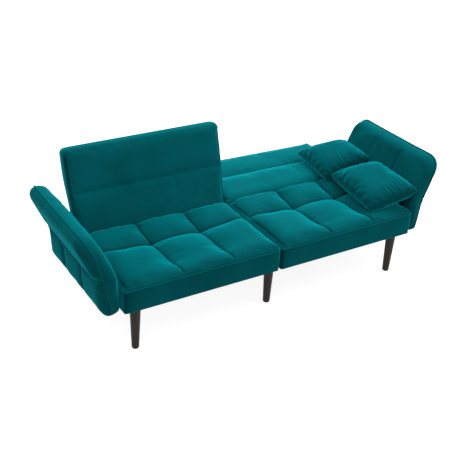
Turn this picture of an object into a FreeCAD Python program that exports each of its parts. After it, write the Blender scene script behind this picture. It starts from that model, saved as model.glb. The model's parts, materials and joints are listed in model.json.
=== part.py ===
import FreeCAD, Part
import math
import os

# Futon sofa bed: two seat modules side by side, each with its own click-clack back, a tilting arm at
# each end, and two loose pillows. The left back stands upright and the right back is let down flat.
# Millimetres. +X runs along the seats, +Y goes from front to rear, +Z is up, and the origin lies on
# the floor under the middle of the bounding box.
# Everything with a left and a right copy is built on the right (+X) side and mirrored.

os.makedirs("parts", exist_ok=True)
Vector = FreeCAD.Vector

# ---------------------------------------------------------------- driving dimensions
seat_width = 795.0  # one module
module_gap = 10.0  # between the two modules
seat_depth = 500.0
seat_underside = 231.0
seat_top = 366.0
seat_corner = 20.0  # rounding of the seat block's upper and upright edges
skin = 2.0  # velvet cover with its lining

back_thickness = 80.0
back_length = 415.0  # pivot to the far edge
back_face = 370.0  # height of the back's face when it lies flat
back_corner = 24.0  # far corners, seen from the face
crease = 4.0  # gap between the seat's rear face and the back's round lower end
upright_angle = 75.5  # from flat to the sitting position

arm_front = 41.0  # behind the seat's front face
arm_rear = 637.0
arm_underside = 211.0
arm_top = 590.0
arm_pivot = (821.0, 238.0)  # x and z of the right arm's tilt axis
# the arm's section, seen from the front: x, z and corner radius, from the lower inner corner round
arm_section = [
    (803.0, 229.0, 18.0),
    (810.0, 415.0, 450.0),
    (903.0, arm_top, 22.0),
    (980.0, arm_top, 38.0),
    (901.0, 384.0, 70.0),
    (890.0, arm_underside, 26.0),
    (829.0, arm_underside, 12.0),
]
# the bent plywood board inside it
board_section = [
    (842.0, 228.0, 3.0),
    (842.0, 392.0, 90.0),
    (912.0, 552.0, 3.0),
    (929.0, 545.0, 3.0),
    (860.0, 388.0, 72.0),
    (860.0, 228.0, 3.0),
]
board_margin = 25.0  # inside the arm's side outline
arm_span = (780.0, 1000.0)  # x, past both faces of the arm

rail_thickness = 22.0
rail_height = 50.0
rail_inset = 12.0  # foam and cover outside the rails
pocket_top = 288.0  # the foam pad rests on the springs here
block_size = 70.0
block_height = 46.0

spring_wire = 2.0  # radius
spring_count = 5
spring_spacing = 130.0
spring_turns = 14
spring_half_run = 18.0

leg_top_radius = 25.5
leg_foot_radius = 17.0
glide_height = 6.0
plate_thickness = 3.0
outer_leg_inset = (72.0, 52.0)  # from the module's outer and front (or rear) faces
centre_leg_inset = 93.0  # from the front (or rear) face

hinge_plate = 4.0
side_play = 0.4  # between two plates of a hinge
running_play = 0.05  # radial, pin in its hole
back_pin_radius = 5.0
back_plate_reach = 380.0  # the fixed plates start here, behind the seat's front face
back_plate_low = 238.0
back_plate_high = 276.0
back_screw_places = (395.0, 440.0)  # behind the seat's front face
back_screw_z = 257.0
back_bolt_places = (50.0, 90.0)  # from the pivot, along the back
arm_pin_radius = 4.0
arm_hinge_places = (140.0, 430.0)  # behind the seat's front face
arm_flange_low = 234.0
arm_flange_high = 278.0
arm_flange_half = 25.0
arm_flange_thickness = 3.0
arm_screw_z = 265.0
board_flange_low = 232.0
board_flange_high = 300.0
eye_radius = 9.0  # of the arm hinges' tongues and blades
head_clearance = 2.5  # height of the hinge screws' heads

pillow_tilt = 18.3  # the pillows lean against the right arm
pillow_half_thickness = 52.0

# ---------------------------------------------------------------- derived places
seat_inner = module_gap / 2
seat_outer = seat_inner + seat_width
seat_middle = (seat_inner + seat_outer) / 2
back_radius = back_thickness / 2
overall_depth = seat_depth + crease + back_radius + back_length
front = -overall_depth / 2  # y of the seats' front face
rear = front + seat_depth
pivot_y = rear + crease + back_radius
pivot_z = back_face - back_radius
rail_top = seat_underside + rail_height
leg_top = seat_underside - plate_thickness
spring_z = rail_top + spring_wire + 0.2


# ---------------------------------------------------------------- shape helpers
def box(x0, x1, y0, y1, z0, z1):
    return Part.makeBox(x1 - x0, y1 - y0, z1 - z0, Vector(x0, y0, z0))


def rod(start, axis, radius, length):
    return Part.makeCylinder(radius, length, Vector(*start), Vector(*axis))


def fuse(shapes):
    """Welds shapes into one solid with no inner seams."""
    first, *others = shapes
    return first.fuse(others).removeSplitter() if others else first


def carve(shape, *tools):
    """Takes every tool out of the shape."""
    tools = [t for t in tools if t.BoundBox.intersect(shape.BoundBox)]
    return shape.cut(tools) if tools else shape


def mirrored(shape):
    """The left copy of a shape on the right."""
    return shape.mirror(Vector(0, 0, 0), Vector(1, 0, 0))


def group(shapes):
    return Part.makeCompound(shapes)


def each(shape, count):
    """The shape's solids, after a check that nothing has split or joined."""
    if len(shape.Solids) != count:
        raise ValueError(f"expected {count} solids and found {len(shape.Solids)}")
    return shape.Solids


def placed(plane, u, v):
    """A point of an outline, in the plane that the outline is drawn in."""
    return {"xy": Vector(u, v, 0), "xz": Vector(u, 0, v), "yz": Vector(0, u, v)}[plane]


def outline(corners, plane):
    """A closed wire through corners (u, v, radius), each rounded by a tangent arc."""
    count = len(corners)
    arcs = []
    for i, (u, v, radius) in enumerate(corners):
        at = placed(plane, u, v)
        before = placed(plane, *corners[i - 1][:2]) - at
        after = placed(plane, *corners[(i + 1) % count][:2]) - at
        before.normalize()
        after.normalize()
        if radius == 0:
            arcs.append((at, None, at))
            continue
        half = before.getAngle(after) / 2
        reach = radius / math.tan(half)
        inward = before + after
        inward.normalize()
        middle = at + inward * (radius / math.sin(half) - radius)
        arcs.append((at + before * reach, middle, at + after * reach))
    edges = []
    for i, (start, middle, end) in enumerate(arcs):
        if middle is not None:
            edges.append(Part.Arc(start, middle, end).toShape())
        following = arcs[(i + 1) % count][0]
        if end.distanceToPoint(following) > 1e-6:
            edges.append(Part.LineSegment(end, following).toShape())
    return Part.Wire(edges)


def prism(corners, plane, low, high, inset=0.0):
    """An outline swept straight from low to high across its plane, drawn in by inset."""
    face = Part.Face(outline(corners, plane))
    if inset:
        face = face.makeOffset2D(-inset)
    across = {"xy": Vector(0, 0, 1), "xz": Vector(0, 1, 0), "yz": Vector(1, 0, 0)}[plane]
    face.translate(across * low)
    return face.extrude(across * (high - low)).Solids[0]


def at_both_ends(make):
    """What make(place, inward) gives at the module's inner end and at its outer end.

    place turns a distance from that end into x, so a piece is drawn once for the two ends.
    """
    return [
        make(lambda d: seat_inner + d, 1),
        make(lambda d: seat_outer - d, -1),
    ]


def slab(place, near, far, y0, y1, z0, z1):
    """A box between two distances from a module's end."""
    low, high = sorted((place(near), place(far)))
    return box(low, high, y0, y1, z0, z1)


# ---------------------------------------------------------------- seat module (right)
def seat_block(inset, floor):
    """The seat's outer form, drawn in by inset, reaching down to floor."""
    block = box(
        seat_inner + inset,
        seat_outer - inset,
        front + inset,
        rear - inset,
        floor,
        seat_top - inset,
    )
    upper = [e for e in block.Edges if e.BoundBox.ZMax > seat_top - inset - 0.01]
    return block.makeFillet(seat_corner - inset, upper)


def seat_long_rails():
    low, high = seat_inner + rail_inset + rail_thickness, seat_outer - rail_inset - rail_thickness
    rails = []
    for near in (front + rail_inset, rear - rail_inset - rail_thickness):
        rails.append(box(low, high, near, near + rail_thickness, seat_underside, rail_top))
    return rails


def seat_end_rails():
    return at_both_ends(
        lambda place, inward: slab(
            place,
            rail_inset,
            rail_inset + rail_thickness,
            front + rail_inset,
            rear - rail_inset,
            seat_underside,
            rail_top,
        )
    )


def corner_blocks():
    """Timber blocks that the leg plates are screwed to."""
    margin = rail_inset + rail_thickness
    off_plate = 10.0  # the rear blocks leave room for the back hinges
    blocks = []
    for y, gap in ((front + margin, 0.0), (rear - margin - block_size, off_plate)):
        blocks += at_both_ends(
            lambda place, inward: slab(
                place,
                margin + gap,
                margin + gap + block_size,
                y,
                y + block_size,
                seat_underside,
                seat_underside + block_height,
            )
        )
    return blocks


def sinuous_spring(x):
    """A zigzag of spring wire from the front rail to the rear rail."""
    start = front + rail_inset + rail_thickness / 2
    pitch = (seat_depth - 2 * rail_inset - rail_thickness) / spring_turns
    edges = []
    for i in range(spring_turns + 1):
        y = start + i * pitch
        side = 1 if i % 2 == 0 else -1
        here = Vector(x - side * spring_half_run, y, spring_z)
        there = Vector(x + side * spring_half_run, y, spring_z)
        edges.append(Part.LineSegment(here, there).toShape())
        if i < spring_turns:
            outside = Vector(there.x + side * pitch / 2, y + pitch / 2, spring_z)
            landing = Vector(there.x, y + pitch, spring_z)
            edges.append(Part.Arc(there, outside, landing).toShape())
    path = Part.Wire(edges)
    begin = path.Edges[0].valueAt(path.Edges[0].FirstParameter)
    profile = Part.Wire(Part.makeCircle(spring_wire, begin, Vector(1, 0, 0)))
    return path.makePipeShell([profile], True, True)


def spring_places():
    middle = (spring_count - 1) / 2
    return [seat_middle + (i - middle) * spring_spacing for i in range(spring_count)]


def spring_clips():
    """A grooved steel clip over each end of every spring."""
    half_length, half_width, height = 8.0, 6.0, 6.0
    start = front + rail_inset + rail_thickness / 2
    clips = []
    for x in spring_places():
        for y in (start, rear - rail_inset - rail_thickness / 2):
            clip = box(
                x - half_length,
                x + half_length,
                y - half_width,
                y + half_width,
                rail_top,
                rail_top + height,
            )
            wire = rod((x - 20, y, spring_z), (1, 0, 0), spring_wire + 0.05, 40)
            clips += clip.cut(wire).Solids
    return clips


# ---------------------------------------------------------------- legs and what holds them
def leg_places():
    """x and y of the six legs, front row first, left to right."""
    outer = seat_outer - outer_leg_inset[0]
    rows = []
    for edge, inward in ((front, 1), (rear, -1)):
        y = edge + inward * outer_leg_inset[1]
        centre = edge + inward * centre_leg_inset
        rows.append([(-outer, y), (0.0, centre), (outer, y)])
    return rows


def is_centre(place):
    return place[0] == 0.0


def leg(place):
    x, y = place
    height = leg_top - glide_height
    body = Part.makeCone(leg_foot_radius, leg_top_radius, height, Vector(x, y, glide_height))
    return carve(body, hanger_bolt(place), glide(place))


def glide(place):
    """A plastic foot with a nail that goes up into the leg."""
    x, y = place
    foot = rod((x, y, 0), (0, 0, 1), leg_foot_radius - 1.5, glide_height)
    foot = foot.makeFillet(2.0, [e for e in foot.Edges if e.BoundBox.ZMax < 0.01])
    nail = rod((x, y, glide_height), (0, 0, 1), 1.5, 16)
    return fuse([foot, nail])


def hanger_bolt(place):
    """Joins a leg to its plate, and on the outer legs to the block above it."""
    x, y = place
    depth_in_leg = 40.0
    top = seat_underside if is_centre(place) else seat_underside + 27.0
    return rod((x, y, leg_top - depth_in_leg), (0, 0, 1), 4.0, top - leg_top + depth_in_leg)


def plate_blank(place):
    """A square plate, or under the middle a longer one that ties the two modules together."""
    x, y = place
    half_x = 82.0 if is_centre(place) else 33.0
    half_y = 33.0
    sides = [
        (x - half_x, y - half_y, 6.0),
        (x + half_x, y - half_y, 6.0),
        (x + half_x, y + half_y, 6.0),
        (x - half_x, y + half_y, 6.0),
    ]
    return prism(sides, "xy", leg_top, seat_underside)


def leg_plate(place):
    """The plate with the holes that its bolt and screws go through."""
    return carve(plate_blank(place), hanger_bolt(place), *plate_screws(place))


def plate_screws(place):
    x, y = place
    offsets = (28.0, 68.0) if is_centre(place) else (25.5,)
    screws = []
    for across in [side * d for d in offsets for side in (-1, 1)]:
        for along in (-25.5, 25.5):
            head = rod((x + across, y + along, leg_top - 2.0), (0, 0, 1), 4.0, 2.0)
            shank = rod((x + across, y + along, leg_top), (0, 0, 1), 2.0, 22.0)
            screws.append(fuse([head, shank]))
    return screws


# ---------------------------------------------------------------- back (right, lying flat)
def back_outline(inset):
    """The back's section across its hinge: a round lower end about the pivot."""
    face, rear_face = pivot_z + back_radius, pivot_z - back_radius
    tip = pivot_y + back_length
    heel = pivot_y - back_radius
    section = [
        (heel, rear_face, back_radius - 0.01),
        (tip, rear_face, 34.0),
        (tip, face, 18.0),
        (heel, face, back_radius - 0.01),
    ]
    return prism(section, "yz", seat_inner + inset, seat_outer - inset, inset)


def back_form(inset):
    """The back's outer form, drawn in by inset."""
    tip = pivot_y + back_length
    heel = pivot_y - back_radius
    planform = [
        (seat_inner, heel - 10, 0.0),
        (seat_outer, heel - 10, 0.0),
        (seat_outer, tip, back_corner),
        (seat_inner, tip, back_corner),
    ]
    across = prism(planform, "xy", pivot_z - 60, pivot_z + 60, inset)
    return back_outline(inset).common(across)


def back_pocket():
    """The hollow in the foam that holds the steel frame and the webbing."""
    margin, half_height = 30.0, 12.0
    return box(
        seat_inner + margin,
        seat_outer - margin,
        pivot_y - 18,
        pivot_y + back_length - 20,
        pivot_z - half_height,
        pivot_z + half_height,
    )


frame_near = rail_inset + rail_thickness + 2 * hinge_plate + side_play  # from the module's end
frame_tube = 20.0
tube_wall = 1.5


def back_frame():
    """A welded ring of square steel tube."""

    def ring(inset):
        size = frame_tube - 2 * inset
        low, high = seat_inner + frame_near + inset, seat_outer - frame_near - inset
        foot, head = pivot_y + 16 + inset, pivot_y + back_length - 24 - inset
        z0, z1 = pivot_z - size / 2, pivot_z + size / 2
        whole = box(low, high, foot, head, z0, z1)
        return whole.cut(box(low + size, high - size, foot + size, head - size, z0, z1))

    return carve(ring(0).cut(ring(tube_wall)), *back_bolts())


def back_webbing():
    """Elastic straps across the front of the frame."""
    width, thickness, count = 50.0, 1.5, 5
    foot, head = pivot_y + 18, pivot_y + back_length - 26
    z = pivot_z + frame_tube / 2
    straps = []
    for i in range(count):
        x = seat_inner + frame_near + 60 + i * (seat_width - 2 * frame_near - 120) / (count - 1)
        straps.append(box(x - width / 2, x + width / 2, foot, head, z, z + thickness))
    return straps


def back_fixed_plates():
    """The seat's half of the click-clack hinges, bolted inside the end rails."""
    eye = 13.0
    low_y = front + back_plate_reach
    bend = rear - 24.0  # where the plate turns up towards the pivot
    arm = [
        (low_y, back_plate_low, 6.0),
        (bend, back_plate_low, 20.0),
        (pivot_y + 10.0, pivot_z - 9.0, 0.0),
        (pivot_y - 9.0, pivot_z + 10.0, 0.0),
        (bend - 14.0, back_plate_high, 20.0),
        (low_y, back_plate_high, 6.0),
    ]
    near = rail_inset + rail_thickness

    def make(place, inward):
        low, high = sorted((place(near), place(near + hinge_plate)))
        body = prism(arm, "yz", low, high)
        disc = rod((low, pivot_y, pivot_z), (1, 0, 0), eye, hinge_plate)
        hole = rod(
            (low - 1, pivot_y, pivot_z),
            (1, 0, 0),
            back_pin_radius + running_play,
            hinge_plate + 2,
        )
        return carve(fuse([body, disc]).cut(hole), *back_plate_screws())

    return at_both_ends(make)


def back_plate_screws():
    """Screws through the fixed plates into the end rails."""
    near = rail_inset + rail_thickness + hinge_plate
    screws = []
    for y in [front + d for d in back_screw_places]:
        for place, inward in ((lambda d: seat_inner + d, 1), (lambda d: seat_outer - d, -1)):
            head = rod((place(near), y, back_screw_z), (inward, 0, 0), 4.5, head_clearance)
            shank = rod((place(near), y, back_screw_z), (-inward, 0, 0), 2.2, 20.0)
            screws.append(fuse([head, shank]))
    return screws


moving_near = rail_inset + rail_thickness + hinge_plate + side_play


def back_moving_plates():
    """The back's half of the hinges, bolted beside the frame's uprights."""
    eye, length, half_height = 11.5, 110.0, 9.5

    def make(place, inward):
        low, high = sorted((place(moving_near), place(moving_near + hinge_plate)))
        bar = box(low, high, pivot_y, pivot_y + length, pivot_z - half_height, pivot_z + half_height)
        disc = rod((low, pivot_y, pivot_z), (1, 0, 0), eye, hinge_plate)
        return carve(fuse([bar, disc]), *back_pins(), *back_bolts())

    return at_both_ends(make)


def back_pins():
    """Pivot pins, riveted to the moving plates and free to turn in the fixed ones."""
    head_radius, head_height = 8.0, 2.0

    def make(place, inward):
        start = rail_inset + rail_thickness - side_play
        end = moving_near + hinge_plate
        low, high = sorted((place(start), place(end)))
        shank = rod((low, pivot_y, pivot_z), (1, 0, 0), back_pin_radius, high - low)
        heads = [
            rod((low - head_height, pivot_y, pivot_z), (1, 0, 0), head_radius, head_height),
            rod((high, pivot_y, pivot_z), (1, 0, 0), head_radius, head_height),
        ]
        return fuse([shank] + heads)

    return at_both_ends(make)


def back_bolts():
    """Bolts with nuts, through the moving plates and the frame's uprights."""
    bolts = []
    grip = hinge_plate + frame_tube
    for y in [pivot_y + d for d in back_bolt_places]:
        for place, inward in ((lambda d: seat_inner + d, 1), (lambda d: seat_outer - d, -1)):
            x = place(moving_near)
            head = rod((x, y, pivot_z), (-inward, 0, 0), 5.0, 3.0)
            shank = rod((x, y, pivot_z), (inward, 0, 0), 3.0, grip)
            nut = rod((x + inward * grip, y, pivot_z), (inward, 0, 0), 5.0, 4.0)
            bolts.append(fuse([head, shank, nut]))
    return bolts


def swing_slot(pivot, first, last, half_width, reach, plane, low, high):
    """Room for a bar that leaves a pivot, from direction first round to direction last (degrees)."""
    u, v = pivot
    a, b = math.radians(first), math.radians(last)
    turn = math.copysign(math.pi / 2, b - a)
    corners = []
    for angle, away, side in ((a, 0, -1), (a, reach, -1), (b, reach, 1), (b, 0, 1)):
        corners.append(
            (
                u + away * math.cos(angle) + half_width * math.cos(angle + side * turn),
                v + away * math.sin(angle) + half_width * math.sin(angle + side * turn),
                0.0,
            )
        )
    wedge = prism(corners, plane, low, high)
    axis = {"yz": (1, 0, 0), "xz": (0, 1, 0)}[plane]
    centre = (low, u, v) if plane == "yz" else (u, low, v)
    return fuse([wedge, rod(centre, axis, half_width, high - low)])


def back_slots():
    """Slots in the back's lower end for the fixed plates, through the whole travel."""
    near = rail_inset + rail_thickness
    toward_seat = 224.0
    release_angle = 8.0

    def make(place, inward):
        low, high = sorted((place(near - 1), place(near + hinge_plate + 1)))
        return swing_slot(
            (pivot_y, pivot_z),
            toward_seat,
            toward_seat - upright_angle - release_angle,
            17.5,
            85.0,
            "yz",
            low,
            high,
        )

    return at_both_ends(make)


# ---------------------------------------------------------------- arm (right)
def arm_side(low_x, high_x, inset):
    """The arm's outline seen from the side."""
    low, high = front + arm_front, front + arm_rear
    corners = [
        (low, arm_underside - 1, 16.0),
        (high, arm_underside - 1, 16.0),
        (high, arm_top + 1, 46.0),
        (low, arm_top + 1, 74.0),
    ]
    return prism(corners, "yz", low_x, high_x, inset)


def arm_form(inset):
    """The arm's outer form, drawn in by inset."""
    section = prism(arm_section, "xz", front + arm_front, front + arm_rear, inset)
    return section.common(arm_side(*arm_span, inset))


def arm_board():
    """The bent plywood board that stiffens the arm."""
    board = prism(board_section, "xz", front + arm_front, front + arm_rear)
    return board.common(arm_side(*arm_span, board_margin))


def arm_fixed_brackets():
    """The seat's half of the arm hinges: a flange on the end rail and a tongue to the pivot."""
    x, z = arm_pivot
    rail_face = seat_outer - rail_inset
    tongue = [
        (rail_face, arm_flange_low, 0.0),
        (rail_face, arm_flange_low + 20.0, 0.0),
        (x, z + eye_radius, 0.0),
        (x, z - eye_radius, 0.0),
    ]
    brackets = []
    for place in arm_hinge_places:
        y = front + place
        low, high = y - hinge_plate / 2, y + hinge_plate / 2
        flange = box(
            rail_face,
            rail_face + arm_flange_thickness,
            y - arm_flange_half,
            y + arm_flange_half,
            arm_flange_low,
            arm_flange_high,
        )
        blade = prism(tongue, "xz", low, high)
        disc = rod((x, low, z), (0, 1, 0), eye_radius, hinge_plate)
        hole = rod((x, low - 1, z), (0, 1, 0), arm_pin_radius + running_play, hinge_plate + 2)
        bracket = fuse([flange, blade, disc]).cut(hole)
        brackets.append(carve(bracket, *arm_fixed_screws()))
    return brackets


def arm_fixed_screws():
    face = seat_outer - rail_inset + arm_flange_thickness
    screws = []
    for place in arm_hinge_places:
        for across in (-15.0, 15.0):
            y = front + place + across
            head = rod((face, y, arm_screw_z), (1, 0, 0), 4.0, head_clearance)
            shank = rod((face, y, arm_screw_z), (-1, 0, 0), 2.2, 20.0)
            screws.append(fuse([head, shank]))
    return screws


def arm_moving_brackets():
    """The arm's half of its hinges: a blade beside the tongue and a flange on the board."""
    x, z = arm_pivot
    board_face = board_section[0][0]
    blade = [
        (x - 2.0, z - eye_radius, 0.0),
        (board_face, board_flange_low, 0.0),
        (board_face, board_flange_high, 0.0),
        (x - 4.0, z + eye_radius - 1, 0.0),
    ]
    brackets = []
    for place in arm_hinge_places:
        low = front + place + hinge_plate / 2 + side_play
        body = prism(blade, "xz", low, low + hinge_plate)
        disc = rod((x, low, z), (0, 1, 0), eye_radius, hinge_plate)
        flange = box(
            board_face - arm_flange_thickness,
            board_face,
            low,
            low + 2 * arm_flange_half,
            board_flange_low,
            board_flange_high,
        )
        bracket = fuse([body, disc, flange])
        brackets.append(carve(bracket, *arm_pins(), *arm_moving_screws()))
    return brackets


def arm_moving_screws():
    face = board_section[0][0] - arm_flange_thickness
    screws = []
    for place in arm_hinge_places:
        for across, z in ((18.0, 252.0), (40.0, 284.0)):
            y = front + place + across
            head = rod((face, y, z), (-1, 0, 0), 4.0, head_clearance)
            shank = rod((face, y, z), (1, 0, 0), 2.2, 17.0)
            screws.append(fuse([head, shank]))
    return screws


def arm_pins():
    """Pivot pins, riveted to the moving brackets and free to turn in the fixed ones."""
    x, z = arm_pivot
    head_radius, head_height = 7.0, 2.0
    pins = []
    for place in arm_hinge_places:
        start = front + place - hinge_plate / 2 - side_play
        end = front + place + hinge_plate * 1.5 + side_play
        shank = rod((x, start, z), (0, 1, 0), arm_pin_radius, end - start)
        heads = [
            rod((x, start - head_height, z), (0, 1, 0), head_radius, head_height),
            rod((x, end, z), (0, 1, 0), head_radius, head_height),
        ]
        pins.append(fuse([shank] + heads))
    return pins


def arm_slots():
    """Slots in the arm's lower inner corner for the tongues, through the whole travel."""
    slots = []
    for place in arm_hinge_places:
        y = front + place
        slots.append(swing_slot(arm_pivot, 180.0, 240.0, 14.0, 50.0, "xz", y - 5.4, y + 3.4))
    return slots


# ---------------------------------------------------------------- pillows
def pillow_lens(corners, half_thickness):
    """A cushion with a knife edge: bulging surfaces over and under a flat four-sided outline."""
    (ax, ay), (bx, by), (cx, cy), (dx, dy) = corners
    steps = 10
    faces = []
    for side in (1, -1):
        rows = []
        for i in range(steps + 1):
            u = i / steps
            row = []
            for j in range(steps + 1):
                v = j / steps
                x = (1 - u) * ((1 - v) * ax + v * bx) + u * ((1 - v) * dx + v * cx)
                y = (1 - u) * ((1 - v) * ay + v * by) + u * ((1 - v) * dy + v * cy)
                swell = (1 - (2 * u - 1) ** 4) * (1 - (2 * v - 1) ** 4)
                row.append(Vector(x, y, side * half_thickness * swell))
            rows.append(row)
        surface = Part.BSplineSurface()
        surface.interpolate(rows)
        faces.append(surface.toShape())
    shell = Part.makeShell(faces)
    shell.sewShape()
    solid = Part.makeSolid(shell)
    if solid.Volume < 0:
        solid.reverse()
    return solid


def drawn_in(corners, inset):
    """A four-sided outline moved towards its middle."""
    mx = sum(x for x, y in corners) / 4
    my = sum(y for x, y in corners) / 4
    return [
        (x + math.copysign(inset, mx - x), y + math.copysign(inset, my - y)) for x, y in corners
    ]


def pillow_pieces(corners, left_x, left_z, support, fill_corners, fill_half):
    """Cover, filling and zip of a pillow whose left edge lies down and right edge leans up.

    Corners are x and distance behind the seat's front face: left front, left rear, right rear,
    right front. The pillow is flat below where it rests on its support.
    """
    lean = math.radians(pillow_tilt)

    def local(points):
        return [((x - left_x) / math.cos(lean), front + y) for x, y in points]

    def settle(shape, clearance):
        turn = FreeCAD.Rotation(Vector(0, 1, 0), -pillow_tilt)
        shape.Placement = FreeCAD.Placement(Vector(left_x, 0, left_z), turn)
        below = box(0, 1200, -700, 700, 0, support + clearance)
        return shape.cut(below).Solids[0]

    edge = local(corners)
    outer = settle(pillow_lens(edge, pillow_half_thickness), 0.6)
    hollow = settle(pillow_lens(drawn_in(edge, 7.0), pillow_half_thickness - 1.5), 2.0)
    fill = settle(pillow_lens(drawn_in(local(fill_corners), 9.0), fill_half), 3.0)
    (cx, cy), (dx, dy) = edge[2], edge[3]
    length = math.hypot(cx - dx, cy - dy)
    zip_length = 0.8 * length
    strip = box(0.3, 4.0, -zip_length / 2, zip_length / 2, -1.2, 1.2)
    slider = box(0.3, 6.5, -zip_length / 2, -zip_length / 2 + 9.0, -2.5, 2.5)
    fastener = fuse([strip, slider])
    fastener.rotate(Vector(0, 0, 0), Vector(0, 0, 1), math.degrees(math.atan2(dx - cx, cy - dy)))
    fastener.translate(Vector((cx + dx) / 2, (cy + dy) / 2, 0))
    turn = FreeCAD.Rotation(Vector(0, 1, 0), -pillow_tilt)
    fastener.Placement = FreeCAD.Placement(Vector(left_x, 0, left_z), turn).multiply(
        fastener.Placement
    )
    return carve(outer, hollow), fill, fastener


front_pillow_corners = [(567.0, 59.0), (604.0, 460.0), (826.0, 322.0), (826.0, 19.0)]
rear_pillow_corners = [(560.0, 484.0), (625.0, 786.0), (826.0, 651.0), (826.0, 420.0)]
# the rear pillow's filling stays behind the hinge line, clear of the seat when the back is raised
rear_fill_corners = [(600.0, 572.0), (632.0, 762.0), (810.0, 640.0), (810.0, 572.0)]


# ---------------------------------------------------------------- assembly
def build():
    """Every node's name and its solids."""
    nodes = {}

    def both_sides(name, shapes, left_turn=None):
        """Adds the right copy, and the left copy mirrored and, on the left back, raised."""
        nodes[name.format("right")] = shapes
        left = [mirrored(s) for s in shapes]
        if left_turn is not None:
            for s in left:
                s.rotate(Vector(0, pivot_y, pivot_z), Vector(1, 0, 0), left_turn)
        nodes[name.format("left")] = left

    places = [p for row in leg_places() for p in row]
    plates = [leg_plate(p) for p in places]
    screws = [s for p in places for s in plate_screws(p)]
    bolts = [hanger_bolt(p) for p in places]

    fixed_plates = back_fixed_plates()
    fixed_brackets = arm_fixed_brackets()
    back_screws = back_plate_screws()
    arm_screws = arm_fixed_screws()
    in_seat = fixed_plates + fixed_brackets + back_screws + arm_screws
    under_seat = screws + bolts

    hollow = seat_block(skin, seat_underside)
    pocket = box(
        seat_inner + rail_inset,
        seat_outer - rail_inset,
        front + rail_inset,
        rear - rail_inset,
        seat_underside - 1,
        pocket_top,
    )
    cover = carve(seat_block(0.0, seat_underside).cut(hollow), *in_seat)
    both_sides("seat_{}_cover", each(cover, 1))
    both_sides("seat_{}_foam", each(carve(hollow.cut(pocket), *in_seat), 1))
    long_rails = [carve(s, *in_seat, *under_seat) for s in seat_long_rails()]
    both_sides("seat_{}_long_rails", long_rails)
    end_rails = [carve(s, *in_seat, *under_seat) for s in seat_end_rails()]
    both_sides("seat_{}_end_rails", end_rails)
    both_sides("seat_{}_corner_blocks", [carve(s, *under_seat) for s in corner_blocks()])
    both_sides("seat_{}_springs", [sinuous_spring(x) for x in spring_places()])
    clips = spring_clips()
    nodes["spring_clips"] = clips + [mirrored(c) for c in clips]
    cloth = box(
        seat_inner + 3,
        seat_outer - 3,
        front + 3,
        rear - 3,
        seat_underside - 1,
        seat_underside,
    )
    cloth = carve(cloth, *[plate_blank(p) for p in places])
    nodes["dust_cloths"] = each(cloth, 1) + [mirrored(cloth)]

    front_row, rear_row = leg_places()
    nodes["front_legs"] = [leg(p) for p in front_row]
    nodes["rear_legs"] = [leg(p) for p in rear_row]
    nodes["leg_plates"] = [s for s, p in zip(plates, places) if not is_centre(p)]
    nodes["joining_plates"] = [s for s, p in zip(plates, places) if is_centre(p)]
    nodes["plate_screws"] = screws
    nodes["hanger_bolts"] = bolts
    nodes["glides"] = [glide(p) for p in places]

    both_sides("back_{}_hinge_fixed_plates", fixed_plates)
    both_sides("arm_{}_hinge_fixed_brackets", fixed_brackets)
    seat_screws = back_screws + arm_screws
    nodes["seat_hinge_screws"] = seat_screws + [mirrored(s) for s in seat_screws]

    lining = back_form(skin)
    slots = back_slots()
    back_cover = each(carve(back_form(0.0).cut(lining), *slots), 1)
    back_foam = each(carve(lining.cut(back_pocket()), *slots), 1)
    for name, shapes in (
        ("back_{}_cover", back_cover),
        ("back_{}_foam", back_foam),
        ("back_{}_frame", each(back_frame(), 1)),
        ("back_{}_webbing", back_webbing()),
        ("back_{}_hinge_moving_plates", back_moving_plates()),
        ("back_{}_hinge_pins", back_pins()),
        ("back_{}_hinge_bolts", back_bolts()),
    ):
        both_sides(name, shapes, upright_angle)

    moving = arm_moving_brackets()
    inner_screws = arm_moving_screws()
    arm_lining = arm_form(skin)
    board = arm_board()
    arm_slot = arm_slots()
    in_arm = moving + inner_screws + arm_pins() + arm_slot
    both_sides("arm_{}_cover", each(carve(arm_form(0.0).cut(arm_lining), *arm_slot), 1))
    both_sides("arm_{}_foam", each(carve(arm_lining, board, *in_arm), 1))
    both_sides("arm_{}_board", each(carve(board, *inner_screws), 1))
    both_sides("arm_{}_hinge_moving_brackets", moving)
    both_sides("arm_{}_hinge_pins", arm_pins())
    both_sides("arm_{}_hinge_screws", inner_screws)

    for name, corners, left, support, fill_corners, fill_half in (
        ("front", front_pillow_corners, 585.0, seat_top, front_pillow_corners, 49.0),
        ("rear", rear_pillow_corners, 590.0, back_face, rear_fill_corners, 30.0),
    ):
        pieces = pillow_pieces(corners, left, support + 18.0, support, fill_corners, fill_half)
        for piece, shape in zip(("cover", "filling", "zip"), pieces):
            nodes[f"pillow_{name}_{piece}"] = [shape]
    return nodes


def main():
    for name, shapes in build().items():
        shape = shapes[0] if len(shapes) == 1 else group(shapes)
        if not shape.isValid():
            raise ValueError(f"{name} is not a valid shape")
        shape.exportStep(f"parts/{name}.step")
        size = shape.BoundBox
        print(f"{name:32} {len(shape.Solids):3} solids  {shape.Volume / 1000:9.1f} cm3", end="  ")
        print(f"x {size.XMin:7.1f} {size.XMax:7.1f}  y {size.YMin:7.1f} {size.YMax:7.1f}", end="  ")
        print(f"z {size.ZMin:6.1f} {size.ZMax:6.1f}")


main()
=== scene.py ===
import json
import math

import bmesh
import bpy
import numpy as np
from mathutils import Matrix, Vector
from mathutils.bvhtree import BVHTree


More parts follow.
